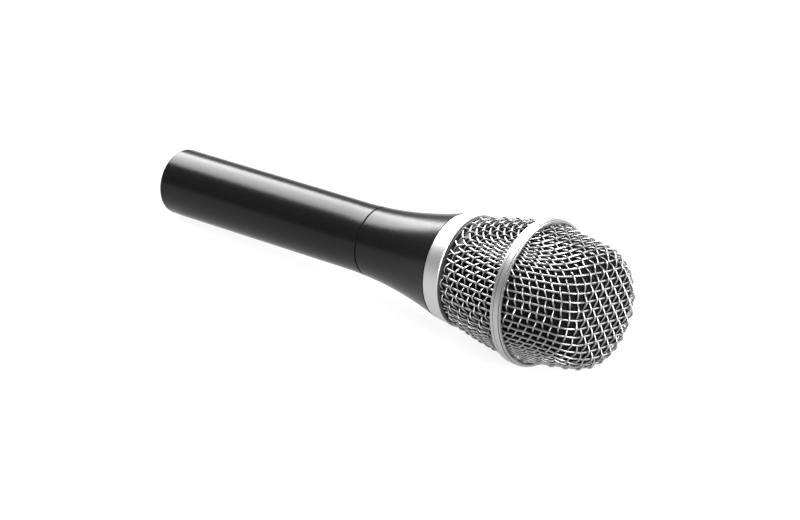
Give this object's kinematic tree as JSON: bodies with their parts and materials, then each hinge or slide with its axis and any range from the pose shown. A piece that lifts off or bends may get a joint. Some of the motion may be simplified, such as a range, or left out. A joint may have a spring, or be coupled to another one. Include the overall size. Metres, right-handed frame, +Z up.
{
  "type": "handheld dynamic microphone",
  "caption": "Handheld vocal microphone with a flared black handle, a silver trim band, a banded wire-mesh grille that screws off and a cartridge on a rubber mount.",
  "frame": {"origin": "centre of the tail end face, at the mouth of the connector socket", "axes": "+X along the microphone from the tail to the front of the grille, +Z up, +Y to the side"},
  "size_m": [0.1863, 0.049, 0.049],
  "materials": {
    "handle_enamel": "satin black enamel over a metal casting",
    "black_rubber": "matte black rubber",
    "mount_rubber": "soft dark rubber",
    "turned_brass": "turned",
    "plated_steel": "plated",
    "core_steel": "stacked laminations",
    "bobbin_plastic": "moulded",
    "copper_winding": "enamelled copper wire",
    "red_wire": "wire insulation",
    "blue_wire": "wire insulation",
    "black_plastic": "moulded",
    "grey_plastic": "moulded",
    "contact_plating": "plated contact metal",
    "black_screw": "black oxide",
    "trim_silver": "satin silver",
    "base_black": "black plating",
    "mesh_wire": "plated woven wire",
    "ring_silver": "satin plated",
    "liner_foam": "open-cell foam",
    "magnet_grey": "ground",
    "felt": "pressed felt",
    "screen_cloth": "fine woven cloth",
    "board_green": "circuit board",
    "diaphragm_film": "thin polyester film"
  },
  "bodies": {
    "root": {"handle_tube": "handle_enamel", "seam_gasket": "black_rubber", "coupling_sleeve": "turned_brass", "neck_housing": "handle_enamel", "shock_mount": "mount_rubber", "mount_retainer": "plated_steel", "transformer_cradle": "mount_rubber", "transformer_core": "core_steel", "transformer_bobbin": "bobbin_plastic", "transformer_winding": "copper_winding", "output_leads": "red_wire", "cartridge_leads": "blue_wire", "xlr_insert": "black_plastic", "xlr_pin_1": "contact_plating", "xlr_pin_2": "contact_plating", "xlr_pin_3": "contact_plating", "ground_tab": "contact_plating", "insert_screw": "black_screw"},
    "seal": {"grille_seal": "black_rubber"},
    "trim": {"trim_band": "trim_silver"},
    "grille": {"grille_base_ring": "base_black", "mesh_lower": "mesh_wire", "mid_ring": "ring_silver", "mesh_upper": "mesh_wire", "foam_liner": "liner_foam"},
    "cartridge": {"cartridge_housing": "black_plastic", "air_chamber": "grey_plastic", "yoke_support": "grey_plastic", "magnet_yoke": "plated_steel", "magnet": "magnet_grey", "pole_piece": "plated_steel", "top_plate": "plated_steel", "damping_felt": "felt", "diaphragm_frame": "grey_plastic", "diaphragm_clamp": "plated_steel", "front_cap": "black_plastic", "cap_screen": "screen_cloth", "terminal_board": "board_green", "cartridge_terminals": "contact_plating"},
    "diaphragm": {"diaphragm_dome": "diaphragm_film", "voice_coil": "copper_winding", "diaphragm_surround": "diaphragm_film"}
  },
  "joints": [
    {"name": "grille_lift", "type": "slide", "parent": "root", "child": "seal", "axis": [1, 0, 0], "range_m": [0, 0.06]},
    {"name": "grille_advance", "type": "slide", "parent": "seal", "child": "trim", "axis": [1, 0, 0], "range_m": [0, 0.0045]},
    {"name": "grille_turn", "type": "hinge", "parent": "trim", "child": "grille", "pos_m": [0.125, 0, 0], "axis": [1, 0, 0], "range_deg": [0, 1080]},
    {"name": "cartridge_float", "type": "slide", "parent": "root", "child": "cartridge", "axis": [1, 0, 0], "range_m": [-0.0008, 0.0008], "stiffness_N_per_m": 1580, "deforming": ["shock_mount", "cartridge_leads"]},
    {"name": "diaphragm_travel", "type": "slide", "parent": "cartridge", "child": "diaphragm", "axis": [1, 0, 0], "range_m": [-0.0003, 0.0003], "stiffness_N_per_m": 71, "deforming": ["diaphragm_surround"]}
  ],
  "couplings": [
    {"joint": "grille_advance", "follows": "grille_turn", "m_per_rad": 0.00023873}
  ]
}
